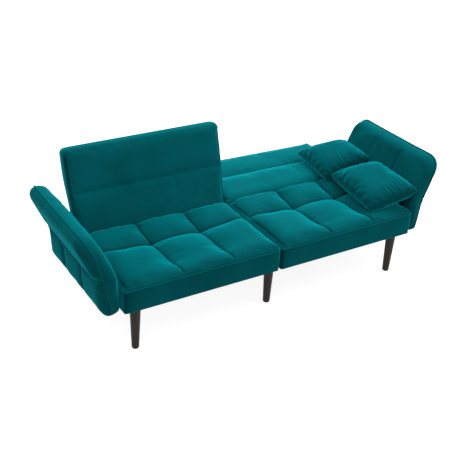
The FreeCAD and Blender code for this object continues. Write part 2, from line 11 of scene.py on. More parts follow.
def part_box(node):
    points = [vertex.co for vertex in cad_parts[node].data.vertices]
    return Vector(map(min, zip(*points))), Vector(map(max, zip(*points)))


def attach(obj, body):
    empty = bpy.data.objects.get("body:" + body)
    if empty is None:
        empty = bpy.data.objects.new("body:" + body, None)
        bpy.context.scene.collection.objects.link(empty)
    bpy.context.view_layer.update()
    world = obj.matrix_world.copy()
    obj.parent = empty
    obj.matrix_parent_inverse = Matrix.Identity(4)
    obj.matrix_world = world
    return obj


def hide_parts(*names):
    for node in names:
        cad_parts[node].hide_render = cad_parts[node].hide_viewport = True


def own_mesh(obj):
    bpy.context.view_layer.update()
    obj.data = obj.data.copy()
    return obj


# Futon sofa bed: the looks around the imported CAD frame. Metres, in the CAD frame: +X along the seats,
# +Y from front to rear, +Z up. Upholstery is built on the right side. The left seat is the same module,
# and the left back and arm are mirrored.

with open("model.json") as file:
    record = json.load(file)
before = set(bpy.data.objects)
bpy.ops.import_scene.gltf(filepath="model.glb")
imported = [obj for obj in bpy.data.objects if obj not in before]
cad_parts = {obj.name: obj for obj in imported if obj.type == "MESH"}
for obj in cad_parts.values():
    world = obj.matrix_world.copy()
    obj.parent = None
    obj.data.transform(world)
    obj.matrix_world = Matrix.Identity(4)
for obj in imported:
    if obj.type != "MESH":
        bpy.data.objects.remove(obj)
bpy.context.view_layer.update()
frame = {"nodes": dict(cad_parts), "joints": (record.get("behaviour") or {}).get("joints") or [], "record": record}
scene = bpy.context.scene
joints = {j["name"]: j for j in frame["joints"]}

# ---------------- places, from the frame
seat_lo, seat_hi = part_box("seat_right_cover")
back_lo, back_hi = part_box("back_right_cover")
arm_lo, arm_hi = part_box("arm_right_cover")
front_y = seat_lo.y
pivot = Vector(joints["back_right_recline"]["pos_m"])
upright_turn = math.radians(-joints["back_left_recline"]["range_deg"][0])
pillow_tilt = math.radians(18.3)
to_left_side = Matrix.Diagonal((-1.0, 1.0, 1.0, 1.0))

# upholstery details
welt_z = seat_hi.z - 0.026  # the sewn edge between a seat's top panel and its front band
row_seam_y = front_y + 0.325
column_seams = (seat_lo.x + 0.285, seat_lo.x + 0.545)
seat_seam_depth = 0.028
seat_corners = (0.014,) * 4  # radii, seen from above
seam_width = 0.0045  # of the pressed pile beside a row of stitches
back_seam = 0.208  # from the pivot, along the back
arm_channels = (front_y + 0.24, front_y + 0.44)
arm_bend_z = 0.384
arm_thickness = 0.086  # nominal, before the arm's section is flared


# ---------------- number helpers
def smooth(t):
    """0 below 0, 1 above 1, and a smooth rise between."""
    t = np.clip(t, 0.0, 1.0)
    return t * t * (3.0 - 2.0 * t)


def swell(distance, reach):
    """A padded panel's rise from its seam: steep beside the seam, level at reach."""
    t = np.clip(distance / reach, 0.0, 1.0)
    return np.sqrt(1.0 - (1.0 - t) ** 3)


def dome(distance, reach):
    """A panel's broad rise from its seam: a parabola, level at reach."""
    return 1.0 - (1.0 - np.clip(distance / reach, 0.0, 1.0)) ** 2


def notch(distance, width):
    """1 on a line and nearly 0 two widths from it."""
    return np.exp(-((distance / width) ** 2))


def ripples(points, wavelength, seed):
    """A smooth uneven field between about -1 and 1, the same on every run."""
    count = 6
    draw = np.random.default_rng(seed)
    total = np.zeros(len(points))
    for _ in range(count):
        way = draw.normal(size=3)
        way *= 2.0 * math.pi / (wavelength * draw.uniform(0.7, 1.5) * np.linalg.norm(way))
        total += np.sin(points @ way + draw.uniform(0.0, 2.0 * math.pi))
    return total / count


def stations(marks, fine, coarse):
    """Places from the first mark to the last, close together at each mark and wider between."""
    growth = 0.2  # of the step, for each metre from the nearest mark
    samples = 600
    places = [marks[0]]
    for a, b in zip(marks, marks[1:]):
        t = np.linspace(a, b, samples)
        step = np.minimum(fine + growth * np.minimum(t - a, b - t), coarse)
        travelled = np.concatenate([[0.0], np.cumsum(np.diff(t) / step[:-1])])
        count = max(2, round(travelled[-1]))
        places += list(np.interp(np.linspace(0.0, travelled[-1], count + 1)[1:], travelled, t))
    return np.array(places)


# ---------------- lattice shells
def grid_quads(number, turned_over=False):
    """The quads of a grid of point numbers."""
    corners = [number[:-1, :-1], number[1:, :-1], number[1:, 1:], number[:-1, 1:]]
    quads = np.stack(corners, -1).reshape(-1, 4)
    return quads[:, ::-1] if turned_over else quads


def block(xs, ys, zs, open_below=False):
    """The surface of a box as a lattice: its points and its outward quads."""
    grid = np.stack(np.meshgrid(xs, ys, zs, indexing="ij"), -1)
    on = np.zeros(grid.shape[:3], bool)
    on[[0, -1]] = True
    on[:, [0, -1]] = True
    on[:, :, -1] = True
    if not open_below:
        on[:, :, 0] = True
    number = np.full(on.shape, -1)
    number[on] = np.arange(on.sum())
    quads = [grid_quads(number[:, :, -1])]
    quads += [grid_quads(number[0], True), grid_quads(number[-1])]
    quads += [grid_quads(number[:, 0]), grid_quads(number[:, -1], True)]
    if not open_below:
        quads.append(grid_quads(number[:, :, 0], True))
    return grid[on], np.concatenate(quads)


def inside_outline(a, b, lo, hi, radii):
    """Depth inside a rounded rectangle, and the outward direction, at points (a, b).

    radii are those of the corners (lo, lo), (hi, lo), (hi, hi) and (lo, hi).
    """
    ca, cb = (lo[0] + hi[0]) / 2, (lo[1] + hi[1]) / 2
    right, above = a > ca, b > cb
    r = np.where(above, np.where(right, radii[2], radii[3]), np.where(right, radii[1], radii[0]))
    sign_a, sign_b = np.where(right, 1.0, -1.0), np.where(above, 1.0, -1.0)
    qa = np.abs(a - ca) - (hi[0] - lo[0]) / 2 + r
    qb = np.abs(b - cb) - (hi[1] - lo[1]) / 2 + r
    pa, pb = np.maximum(qa, 0.0), np.maximum(qb, 0.0)
    reach = np.hypot(pa, pb)
    depth = r - reach - np.minimum(np.maximum(qa, qb), 0.0)
    flat_a = qa > qb
    safe = np.maximum(reach, 1e-9)
    na = np.where(reach > 0, pa / safe, np.where(flat_a, 1.0, 0.0))
    nb = np.where(reach > 0, pb / safe, np.where(flat_a, 0.0, 1.0))
    return depth, na * sign_a, nb * sign_b


def round_outline(a, b, lo, hi, radii):
    """Moves points of a rectangle's corner squares into rounded corners."""
    a, b = a.copy(), b.copy()
    corners = ((lo[0], lo[1], -1, -1), (hi[0], lo[1], 1, -1), (hi[0], hi[1], 1, 1), (lo[0], hi[1], -1, 1))
    for (ea, eb, sa, sb), r in zip(corners, radii):
        da, db = (a - ea) * sa + r, (b - eb) * sb + r
        near = (da > 0) & (db > 0)
        scale = np.maximum(da, db) / np.maximum(np.hypot(da, db), 1e-9)
        a = np.where(near, ea - sa * r + sa * da * scale, a)
        b = np.where(near, eb - sb * r + sb * db * scale, b)
    return a, b


def round_edge(a, b, c, lo, hi, radii, face, sign, r):
    """Rounds the edge, by radius r, between an outline's wall and the face at c = face.

    sign is 1 for a face that looks along c, and -1 for one that looks back.
    """
    depth, na, nb = inside_outline(a, b, lo, hi, radii)
    out = np.maximum(r - depth, 0.0)
    up = np.maximum(r - (face - c) * sign, 0.0)
    near = (out > 0) & (up > 0)
    scale = np.where(near, np.maximum(out, up) / np.maximum(np.hypot(out, up), 1e-9), 1.0)
    shift = out * (scale - 1.0)
    return a + na * shift, b + nb * shift, c + sign * up * (scale - 1.0)


def point_normals(points, quads):
    """Outward unit normals."""
    corners = [points[quads[:, i]] for i in range(4)]
    facing = np.cross(corners[2] - corners[0], corners[3] - corners[1])
    total = np.zeros_like(points)
    for i in range(4):
        np.add.at(total, quads[:, i], facing)
    return total / np.maximum(np.linalg.norm(total, axis=1), 1e-12)[:, None]


# ---------------- mesh helpers
def make_piece(name, points, faces, material, painted_shade=None):
    """A mesh object. Its painted shade, from 0 to 1 at each point, is how far its colour darkens in seams, creases
    and hollows.
    """
    mesh = bpy.data.meshes.new(name)
    mesh.from_pydata([tuple(p) for p in points], [], [tuple(int(i) for i in f) for f in faces])
    mesh.materials.append(material)
    mesh.shade_smooth()
    if painted_shade is not None:
        mesh.attributes.new("painted_shade", "FLOAT", "POINT").data.foreach_set("value", painted_shade)
    piece = bpy.data.objects.new(name, mesh)
    scene.collection.objects.link(piece)
    return piece


def points_of(mesh):
    flat = np.zeros(len(mesh.vertices) * 3, np.float32)
    mesh.vertices.foreach_get("co", flat)
    return flat.reshape(-1, 3).astype(float)


def set_points(mesh, points):
    mesh.vertices.foreach_set("co", points.astype(np.float32).ravel())
    mesh.update()


def evaluated_mesh(piece):
    graph = bpy.context.evaluated_depsgraph_get()
    return bpy.data.meshes.new_from_object(piece.evaluated_get(graph))


def subdivide(piece):
    """Adds one smooth subdivision and applies it."""
    piece.modifiers.new("subdivision", "SUBSURF").levels = 1
    mesh = evaluated_mesh(piece)
    piece.modifiers.clear()
    piece.data = mesh
    mesh.shade_smooth()


def close_holes(piece):
    """Closes an open underside with one flat face."""
    mesh = bmesh.new()
    mesh.from_mesh(piece.data)
    bmesh.ops.holes_fill(mesh, edges=[e for e in mesh.edges if e.is_boundary])
    mesh.to_mesh(piece.data)
    mesh.free()


def puff(piece, held, pressure, cap, growth):
    """Lets the fabric swell and settle as cloth, held where held is 1, and moving at most cap.

    growth is how much larger the fabric is cut than its starting shape.
    """
    frames = 20
    levels = 10
    start = points_of(piece.data)
    group = piece.vertex_groups.new(name="held")
    for level in range(1, levels + 1):
        members = np.nonzero(np.round(held * levels) == level)[0]
        if len(members):
            group.add([int(i) for i in members], level / levels, "REPLACE")
    cloth = piece.modifiers.new("cloth", "CLOTH")
    settings = cloth.settings
    settings.quality = 4
    settings.mass = 0.25
    settings.tension_stiffness = 12.0
    settings.compression_stiffness = 12.0
    settings.shear_stiffness = 6.0
    settings.bending_stiffness = 0.6
    settings.vertex_group_mass = group.name
    settings.pin_stiffness = 3.0
    settings.use_pressure = True
    settings.uniform_pressure_force = pressure
    settings.shrink_min = -growth
    settings.effector_weights.gravity = 0.0
    cloth.collision_settings.use_collision = False
    cloth.point_cache.frame_start = 1
    cloth.point_cache.frame_end = frames
    for number in range(1, frames + 1):
        scene.frame_set(number)
    settled = points_of(evaluated_mesh(piece))
    piece.modifiers.remove(cloth)
    piece.vertex_groups.clear()
    scene.frame_set(1)
    moved = settled - start
    length = np.maximum(np.linalg.norm(moved, axis=1), 1e-9)
    moved *= (cap * np.tanh(length / cap) / length)[:, None]
    set_points(piece.data, start + moved)


def copy_of(piece, name, change):
    """The same piece, moved or mirrored by the matrix change."""
    mesh = piece.data.copy()
    mesh.transform(change)
    if change.determinant() < 0.0:
        mesh.flip_normals()
    mesh.name = name
    copy = bpy.data.objects.new(name, mesh)
    scene.collection.objects.link(copy)
    return copy


def tube(name, path, radius, material, closed=False):
    """A cord of fabric along a path: piping, a welt or a seam."""
    sides = 8
    end_taper = 0.55
    aside = (0.31, 0.42, 0.85)  # no path starts in this direction
    path = np.array(path)
    count = len(path)
    following = np.roll(path, -1, 0) if closed else np.concatenate([path[1:], path[-1:]])
    previous = np.roll(path, 1, 0) if closed else np.concatenate([path[:1], path[:-1]])
    along = following - previous
    along /= np.linalg.norm(along, axis=1)[:, None]
    across = np.cross(along[0], aside)
    points = []
    for i in range(count):
        across = across - along[i] * (across @ along[i])
        across /= np.linalg.norm(across)
        other = np.cross(along[i], across)
        end = not closed and i in (0, count - 1)
        size = radius * (end_taper if end else 1.0)
        for k in range(sides):
            turn = 2.0 * math.pi * k / sides
            points.append(path[i] + size * (across * math.cos(turn) + other * math.sin(turn)))
    faces = []
    for i in range(count if closed else count - 1):
        j = (i + 1) % count
        for k in range(sides):
            m = (k + 1) % sides
            faces.append((i * sides + k, i * sides + m, j * sides + m, j * sides + k))
    if not closed:
        faces.append(tuple(range(sides))[::-1])
        faces.append(tuple((count - 1) * sides + k for k in range(sides)))
    piece = make_piece(name, points, faces, material)
    outward = bmesh.new()
    outward.from_mesh(piece.data)
    bmesh.ops.recalc_face_normals(outward, faces=outward.faces)
    outward.to_mesh(piece.data)
    outward.free()
    return piece


def laid_on(path, piece, lift):
    """A path moved onto a piece's surface, and off it by lift."""
    tree = BVHTree.FromPolygons(
        [v.co for v in piece.data.vertices], [tuple(p.vertices) for p in piece.data.polygons]
    )
    laid = []
    for point in path:
        place, normal, _, _ = tree.find_nearest(Vector(point))
        laid.append(place + normal * lift)
    return np.array([tuple(p) for p in laid])


def evened(path, spacing, closed=False):
    """The same path with evenly spaced points."""
    path = np.array(path)
    if closed:
        path = np.concatenate([path, path[:1]])
    run = np.concatenate([[0.0], np.cumsum(np.linalg.norm(np.diff(path, axis=0), axis=1))])
    count = max(2, round(run[-1] / spacing))
    at = np.linspace(0.0, run[-1], count + 1)
    even = np.stack([np.interp(at, run, path[:, k]) for k in range(3)], 1)
    return even[:-1] if closed else even


def outline_path(lo, hi, radii, steps=8):
    """A rounded rectangle as a list of (a, b), from the corner (lo, lo) round."""
    centres = (
        (lo[0] + radii[0], lo[1] + radii[0], 180, radii[0]),
        (hi[0] - radii[1], lo[1] + radii[1], 270, radii[1]),
        (hi[0] - radii[2], hi[1] - radii[2], 0, radii[2]),
        (lo[0] + radii[3], hi[1] - radii[3], 90, radii[3]),
    )
    path = []
    for a, b, start, r in centres:
        for k in range(steps + 1):
            turn = math.radians(start + 90.0 * k / steps)
            path.append((a + r * math.cos(turn), b + r * math.sin(turn)))
    return path


# ---------------- materials
class Finish:
    """A material and a short way to add nodes to it."""

    def __init__(self, name):
        self.material = bpy.data.materials.new(name)
        self.material.use_nodes = True
        self.tree = self.material.node_tree
        self.shader = self.tree.nodes["Principled BSDF"]

    def add(self, kind, values=None, **settings):
        """A node with its settings, and its inputs linked or set to values."""
        node = self.tree.nodes.new("ShaderNode" + kind)
        for key, value in settings.items():
            setattr(node, key, value)
        for key, value in (values or {}).items():
            if isinstance(value, bpy.types.NodeSocket):
                self.tree.links.new(value, node.inputs[key])
            else:
                node.inputs[key].default_value = value
        return node

    def link(self, source, socket):
        self.tree.links.new(source, self.shader.inputs[socket])

    def place(self, scale=(1.0, 1.0, 1.0)):
        """Coordinates fixed to the object, stretched by scale."""
        here = self.add("TexCoord").outputs["Object"]
        return self.add("Mapping", {"Vector": here, "Scale": scale}).outputs["Vector"]

    def noise(self, scale, detail=2.0, stretch=(1.0, 1.0, 1.0), distortion=0.0):
        """Noise with about scale spots to the metre."""
        here = self.place(stretch)
        values = {"Vector": here, "Scale": scale, "Detail": detail, "Distortion": distortion}
        return self.add("TexNoise", values).outputs["Fac"]

    def span(self, value, low, high, to_low, to_high):
        """A value's range from low to high, turned into to_low to to_high."""
        values = {"Value": value, "From Min": low, "From Max": high, "To Min": to_low, "To Max": to_high}
        return self.add("MapRange", values).outputs["Result"]

    def ramp(self, value, *stops):
        """A value turned into a colour, through stops of (value, colour)."""
        node = self.add("ValToRGB", {"Fac": value})
        elements = node.color_ramp.elements
        while len(elements) < len(stops):
            elements.new(0.5)
        for element, (position, colour) in zip(elements, stops):
            element.position = position
            element.color = (*colour, 1.0)
        return node.outputs["Color"]

    def mix(self, share, a, b):
        """Colour a, turning into b as share goes from 0 to 1. The sockets are the Mix node's colour ones."""
        a, b = (c if isinstance(c, bpy.types.NodeSocket) else (*c, 1.0) for c in (a, b))
        return self.add("Mix", {0: share, 6: a, 7: b}, data_type="RGBA").outputs[2]

    def bump(self, height, distance, strength):
        values = {"Height": height, "Distance": distance, "Strength": strength}
        self.link(self.add("Bump", values).outputs["Normal"], "Normal")

    def set(self, **sockets):
        """Sets the shader's own sockets, named in lower case with underscores."""
        for key, value in sockets.items():
            socket = key.replace("_", " ").title().replace("Ior", "IOR")
            self.shader.inputs[socket].default_value = value


def velvet(name, deep, light, worn, sheen=1.0):
    """Short-pile velvet: brushed patches and fine pile, with painted shade darkening its seams and creases, and
    paler edges that are partly rubbed wear and partly a painted highlight.
    """
    finish = Finish(name)
    # painted shade: the dark teal that seams, creases and hollows turn towards
    painted_shade_colour = (0.0, 0.010, 0.012)
    brushed = finish.noise(5.0, detail=3.0, stretch=(1.0, 1.6, 1.0), distortion=0.5)
    colour = finish.ramp(brushed, (0.30, deep), (0.70, light))
    streaks = finish.noise(60.0, detail=3.0, stretch=(1.0, 0.25, 1.0))
    colour = finish.mix(finish.span(streaks, 0.35, 0.65, 0.0, 0.15), colour, deep)
    # painted shade, where the mesh's shade attribute marks seams, creases and hollows
    painted_shade = finish.add("Attribute", attribute_name="painted_shade").outputs["Fac"]
    colour = finish.mix(finish.span(painted_shade, 0.0, 1.0, 0.0, 0.8), colour, painted_shade_colour)
    # ridges and convex edges turn paler: partly rubbed wear, partly a painted highlight
    pointed = finish.add("NewGeometry").outputs["Pointiness"]
    colour = finish.mix(finish.span(pointed, 0.53, 0.62, 0.0, 0.35), colour, worn)
    finish.link(colour, "Base Color")
    finish.link(finish.span(brushed, 0.3, 0.7, 0.85, 0.7), "Roughness")
    pile = finish.noise(1500.0)
    finish.bump(pile, distance=0.0006, strength=0.6)
    finish.set(sheen_weight=sheen, sheen_roughness=0.42, sheen_tint=(0.0, 0.75, 0.86, 1.0))
    finish.set(specular_ior_level=0.012)
    return finish.material


def wood(name, dark, pale, ring_scale, roughness, coat):
    """Wood with its grain upright, as in the legs."""
    finish = Finish(name)
    grain = finish.noise(ring_scale, detail=6.0, stretch=(1.0, 1.0, 0.06), distortion=1.2)
    fibres = finish.noise(ring_scale * 9.0, detail=3.0, stretch=(1.0, 1.0, 0.03))
    colour = finish.ramp(grain, (0.3, dark), (0.7, pale))
    colour = finish.mix(finish.span(fibres, 0.4, 0.7, 0.0, 0.5), colour, dark)
    finish.link(colour, "Base Color")
    finish.link(finish.span(fibres, 0.3, 0.7, roughness - 0.08, roughness + 0.12), "Roughness")
    finish.bump(fibres, distance=0.0004, strength=0.5)
    finish.set(coat_weight=coat, coat_roughness=0.25, specular_ior_level=0.25)
    return finish.material


def plywood(name):
    """Bent board: pale veneers with darker glue lines on the cut edges."""
    finish = Finish(name)
    brown, pale, glue = (0.42, 0.27, 0.14), (0.60, 0.43, 0.25), (0.20, 0.11, 0.05)
    veneers = finish.noise(420.0, detail=1.0, stretch=(1.0, 0.01, 0.3))
    figure = finish.noise(14.0, detail=5.0, stretch=(1.0, 0.1, 1.0), distortion=0.8)
    colour = finish.ramp(figure, (0.3, brown), (0.7, pale))
    colour = finish.mix(finish.span(veneers, 0.5, 0.6, 0.0, 0.6), colour, glue)
    finish.link(colour, "Base Color")
    finish.link(finish.span(figure, 0.3, 0.7, 0.55, 0.75), "Roughness")
    finish.bump(veneers, distance=0.0003, strength=0.5)
    return finish.material


def metal(name, colour, worn, metallic, roughness, grain):
    """Painted or plated steel with a fine texture, and bare or polished edges."""
    finish = Finish(name)
    texture = finish.noise(grain, detail=4.0)
    pointed = finish.add("NewGeometry").outputs["Pointiness"]
    base = finish.ramp(texture, (0.35, tuple(0.75 * c for c in colour)), (0.65, colour))
    base = finish.mix(finish.span(pointed, 0.53, 0.60, 0.0, 0.7), base, worn)
    finish.link(base, "Base Color")
    finish.link(finish.span(texture, 0.3, 0.7, roughness - 0.1, roughness + 0.1), "Roughness")
    finish.bump(texture, distance=0.0002, strength=0.4)
    finish.set(metallic=metallic)
    return finish.material


def plastic(name, colour, roughness):
    """Moulded plastic with a fine eroded texture."""
    finish = Finish(name)
    grain = finish.noise(900.0)
    cloud = finish.noise(25.0, detail=3.0)
    base = finish.ramp(cloud, (0.3, tuple(0.7 * c for c in colour)), (0.7, colour))
    finish.link(base, "Base Color")
    finish.link(finish.span(grain, 0.3, 0.7, roughness - 0.1, roughness + 0.1), "Roughness")
    finish.bump(grain, distance=0.0002, strength=0.5)
    return finish.material


def cloth_weave(name, colour, shade, thread, roughness):
    """Woven cloth: crossed threads, thread metres apart, with uneven colour."""
    finish = Finish(name)
    here = finish.place()
    turns = math.pi / thread
    waves = []
    for turn in (0.0, math.pi / 2):
        values = {"Vector": here, "Rotation": (0.0, 0.0, turn)}
        lines = finish.add("Mapping", values).outputs["Vector"]
        wave = finish.add("TexWave", {"Vector": lines, "Scale": turns, "Distortion": 0.6})
        waves.append(wave.outputs["Fac"])
    weave = finish.add("Math", {0: waves[0], 1: waves[1]}, operation="MULTIPLY").outputs[0]
    uneven = finish.noise(30.0, detail=3.0)
    base = finish.ramp(uneven, (0.3, shade), (0.7, colour))
    base = finish.mix(finish.span(weave, 0.0, 0.5, 0.45, 0.0), base, shade)
    finish.link(base, "Base Color")
    finish.link(finish.span(uneven, 0.3, 0.7, roughness, roughness + 0.15), "Roughness")
    finish.bump(weave, distance=0.0003, strength=0.7)
    return finish.material


def foam_finish(name):
    """Open-cell foam, pale yellow."""
    finish = Finish(name)
    yellow, cream = (0.66, 0.58, 0.34), (0.80, 0.74, 0.50)
    cells = finish.add("TexVoronoi", {"Vector": finish.place(), "Scale": 700.0}).outputs["Distance"]
    cloud = finish.noise(12.0, detail=3.0)
    base = finish.ramp(cloud, (0.3, yellow), (0.7, cream))
    finish.link(base, "Base Color")
    finish.link(finish.span(cells, 0.0, 0.6, 0.75, 0.95), "Roughness")
    finish.bump(cells, distance=0.0006, strength=0.8)
    return finish.material


# one velvet; the backs and arms use copies with a lighter base colour, painted light that brightens them, and the
# arms have less sheen
# paler colour for ridges and convex edges: partly rubbed wear, partly a painted highlight
rubbed_and_highlit = (0.0, 0.20, 0.22)
teal = velvet("teal_velvet", (0.0, 0.050, 0.058), (0.0, 0.070, 0.081), rubbed_and_highlit)
back_teal_painted_light = velvet("back_velvet", (0.0, 0.061, 0.070), (0.0, 0.085, 0.097), rubbed_and_highlit)
arm_teal_painted_light = velvet("arm_velvet", (0.0, 0.060, 0.069), (0.0, 0.084, 0.096), (0.0, 0.12, 0.14), sheen=0.6)
# piping in a darker velvet: partly its own colour, partly painted shade for the groove along it
piping_dark_and_shaded = velvet("piping_velvet", (0.0, 0.030, 0.035), (0.0, 0.046, 0.053), (0.0, 0.10, 0.11))
finishes = {
    "velvet": teal,
    "foam": foam_finish("foam"),
    "filling": foam_finish("filling"),
    "dust_cloth": cloth_weave("dust_cloth", (0.018, 0.018, 0.020), (0.008, 0.008, 0.009), 0.0016, 0.8),
    "webbing": cloth_weave("webbing", (0.50, 0.46, 0.38), (0.26, 0.22, 0.16), 0.0022, 0.7),
    "dark_wood": wood("dark_wood", (0.005, 0.003, 0.0025), (0.016, 0.009, 0.007), 26.0, 0.5, 0.04),
    "timber": wood("timber", (0.42, 0.28, 0.15), (0.62, 0.46, 0.28), 22.0, 0.65, 0.0),
    "plywood": plywood("plywood"),
    "black_steel": metal("black_steel", (0.022, 0.022, 0.024), (0.12, 0.12, 0.12), 0.3, 0.45, 500.0),
    "zinc_steel": metal("zinc_steel", (0.55, 0.56, 0.58), (0.75, 0.76, 0.78), 1.0, 0.35, 300.0),
    "black_plastic": plastic("black_plastic", (0.020, 0.022, 0.024), 0.5),
}


def dress_frame():
    """Gives every CAD node the finish of its slot in the record."""
    for part in frame["record"]["subparts"]:
        node = frame["nodes"][part["node"]]
        finish = finishes[part["material_slot"]]
        if not node.material_slots:
            node.data.materials.append(finish)
        for place in node.material_slots:
            place.link = "OBJECT"
            place.material = finish


# ---------------- seats
def seat_relief(points):
    """How far each point of the seat stands out, how firmly it is held, and how much painted shade darkens it."""
    x, y, z = points.T
    half_column, half_row, half_row_dome = 0.130, 0.13, 0.15
    steep_share, domed_share = 0.36, 0.64
    tuft_depth, button_depth, stitch_depth = 0.010, 0.005, 0.004
    edge_fall, inner_fall, crown = 0.007, 0.020, 0.006
    unevenness, band_bulge, welt_groove = 0.0007, 0.0015, 0.0030
    past_rear = 1.0

    column = np.min([np.abs(x - place) for place in column_seams], axis=0)
    row = np.abs(y - row_seam_y)
    seam = np.minimum(column, row)
    button = np.hypot(column, row)
    lo, hi = (seat_lo.x, seat_lo.y), (seat_hi.x, seat_hi.y)
    edge, _, _ = inside_outline(x, y, lo, hi, seat_corners)
    free_edge, _, _ = inside_outline(x, y, lo, (hi[0], hi[1] + past_rear), seat_corners)
    over = smooth((z - welt_z - 0.004) / 0.012)  # 1 on the top panel and 0 on the walls
    wall = 1.0 - over
    at_edge = smooth((free_edge - 0.001) / 0.012)
    to_rear = 0.45 + 0.55 * smooth((seat_hi.y - y) / 0.08)

    # each panel rises steeply beside its seams and then as a broad dome, less so towards the edges
    runs_out = (0.3 + 0.7 * smooth((free_edge - 0.01) / 0.10)) * at_edge * to_rear
    far_in = smooth((free_edge - 0.01) / 0.16) * to_rear
    by_column = 1.0 - (1.0 - swell(column, half_column)) * runs_out
    by_row = 1.0 - (1.0 - swell(row, half_row)) * (0.25 + 0.75 * runs_out)
    panel = by_column * by_row
    broad_column = 1.0 - (1.0 - dome(column, half_column)) * far_in
    broad_row = 1.0 - (1.0 - dome(row, half_row_dome)) * (0.2 + 0.8 * far_in)
    risen = steep_share * panel + domed_share * broad_column * broad_row
    relief = -seat_seam_depth * (1.0 - risen) * over
    relief -= (tuft_depth * notch(button, 0.055) + button_depth * notch(button, 0.018)) * over
    relief -= stitch_depth * notch(seam, seam_width) * at_edge * over
    relief -= edge_fall * (1.0 - swell(free_edge, 0.11)) * over
    relief -= inner_fall * (1.0 - dome(x - seat_lo.x, 0.10)) * over
    relief += crown * smooth(free_edge / 0.06) * over
    relief += unevenness * ripples(points, 0.11, 3) * over * smooth(column / 0.05)

    # the front band and the welt above it
    band = np.clip((z - seat_lo.z) / (welt_z - seat_lo.z), 0.0, 1.0)
    at_wall = smooth((0.012 - edge) / 0.006)
    relief += band_bulge * np.sin(math.pi * band) * wall
    relief -= welt_groove * notch(z - welt_z, 0.0045) * at_wall

    # painted shade: darker along the seams, round the buttons, at the inner end between the seats and in a line
    # under the welt
    painted_shade = np.maximum(notch(column, seam_width) * smooth(edge / 0.02), notch(row, seam_width))
    painted_shade = np.maximum(painted_shade, 0.5 * notch(seam, 0.016) * at_edge)
    painted_shade = np.maximum(painted_shade, 0.9 * notch(button, 0.032)) * over
    painted_shade = np.maximum(painted_shade, 0.6 * (1.0 - smooth((x - seat_lo.x) / 0.055)))
    painted_shade = np.maximum(painted_shade, notch(z - welt_z - 0.0045, 0.0022) * at_wall)
    held = np.maximum(1.0 - smooth((panel - 0.25) / 0.35), wall)
    return relief, held, painted_shade


def make_seat():
    """The right seat, open below until its fabric has settled."""
    top_edge = 0.020
    xs = stations([seat_lo.x, *column_seams, seat_hi.x], 0.003, 0.011)
    ys = stations([seat_lo.y, row_seam_y, seat_hi.y], 0.003, 0.011)
    zs = stations([seat_lo.z, welt_z, seat_hi.z], 0.003, 0.010)
    points, quads = block(xs, ys, zs, open_below=True)
    lo, hi = (seat_lo.x, seat_lo.y), (seat_hi.x, seat_hi.y)
    x, y, z = points.T
    x, y = round_outline(x, y, lo, hi, seat_corners)
    x, y, z = round_edge(x, y, z, lo, hi, seat_corners, seat_hi.z, 1.0, top_edge)
    points = np.stack([x, y, z], 1)
    relief, held, painted_shade = seat_relief(points)
    points = points + point_normals(points, quads) * relief[:, None]
    piece = make_piece("seat_right_upholstery", points, quads, teal, painted_shade)
    puff(piece, held, pressure=2.0, cap=0.005, growth=0.01)
    subdivide(piece)
    close_holes(piece)
    return piece


def seat_welt(piece):
    """The cord sewn in round the top panel."""
    lo, hi = (seat_lo.x, seat_lo.y), (seat_hi.x, seat_hi.y)
    ring = outline_path(lo, hi, seat_corners)
    path = evened([(a, b, welt_z) for a, b in ring], 0.006, closed=True)
    path = laid_on(path, piece, lift=0.0012)
    return tube("seat_right_welt", path, 0.0032, teal, closed=True)


def add_seats():
    right = make_seat()
    welt = seat_welt(right)
    across = Matrix.Translation((-(seat_lo.x + seat_hi.x), 0.0, 0.0))
    left = copy_of(right, "seat_left_upholstery", across)
    left_welt = copy_of(welt, "seat_left_welt", across)
    for side, piece, edge in (("right", right, welt), ("left", left, left_welt)):
        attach(piece, "seat")
        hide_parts(f"seat_{side}_cover", f"seat_{side}_foam")
        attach(edge, "seat")


# ---------------- backs
def back_outline():
    """The back's outline seen from its face. It runs on past the hinge, where it isn't rounded."""
    far_corner = 0.028
    past_hinge = 1.0
    lo = (back_lo.x, back_lo.y - past_hinge)
    hi = (back_hi.x, back_hi.y)
    return lo, hi, (0.0, 0.0, far_corner, far_corner)


def filled_out(points, far_growth, far_skew):
    """The free edges of a back, where its padding stands proud of the frame or hangs back from it.

    far_growth is how far the far edge stands out, and far_skew is how much further at its outer end.
    """
    outer_growth, inner_growth = 0.013, 0.003
    unchanged = 0.05  # length beside the hinge where the far edge's growth hasn't started
    x, y, z = points.T
    across = (x - back_lo.x) / (back_hi.x - back_lo.x)
    above_arms = smooth((y - pivot.y - 0.09) / 0.22)
    x = x + (outer_growth * smooth(across) - inner_growth * smooth(1.0 - across)) * above_arms
    far = smooth((y - pivot.y - unchanged) / (back_hi.y - pivot.y - unchanged))
    y = y + (far_growth + far_skew * across) * far
    return np.stack([x, y, z], 1)


def roll_lower_end(y, z):
    """Bends the end beyond the pivot into a half round."""
    dy, dz = pivot.y - y, z - pivot.z
    near = dy > 0
    scale = np.maximum(dy, np.abs(dz)) / np.maximum(np.hypot(dy, dz), 1e-9)
    return np.where(near, pivot.y - dy * scale, y), np.where(near, pivot.z + dz * scale, z)


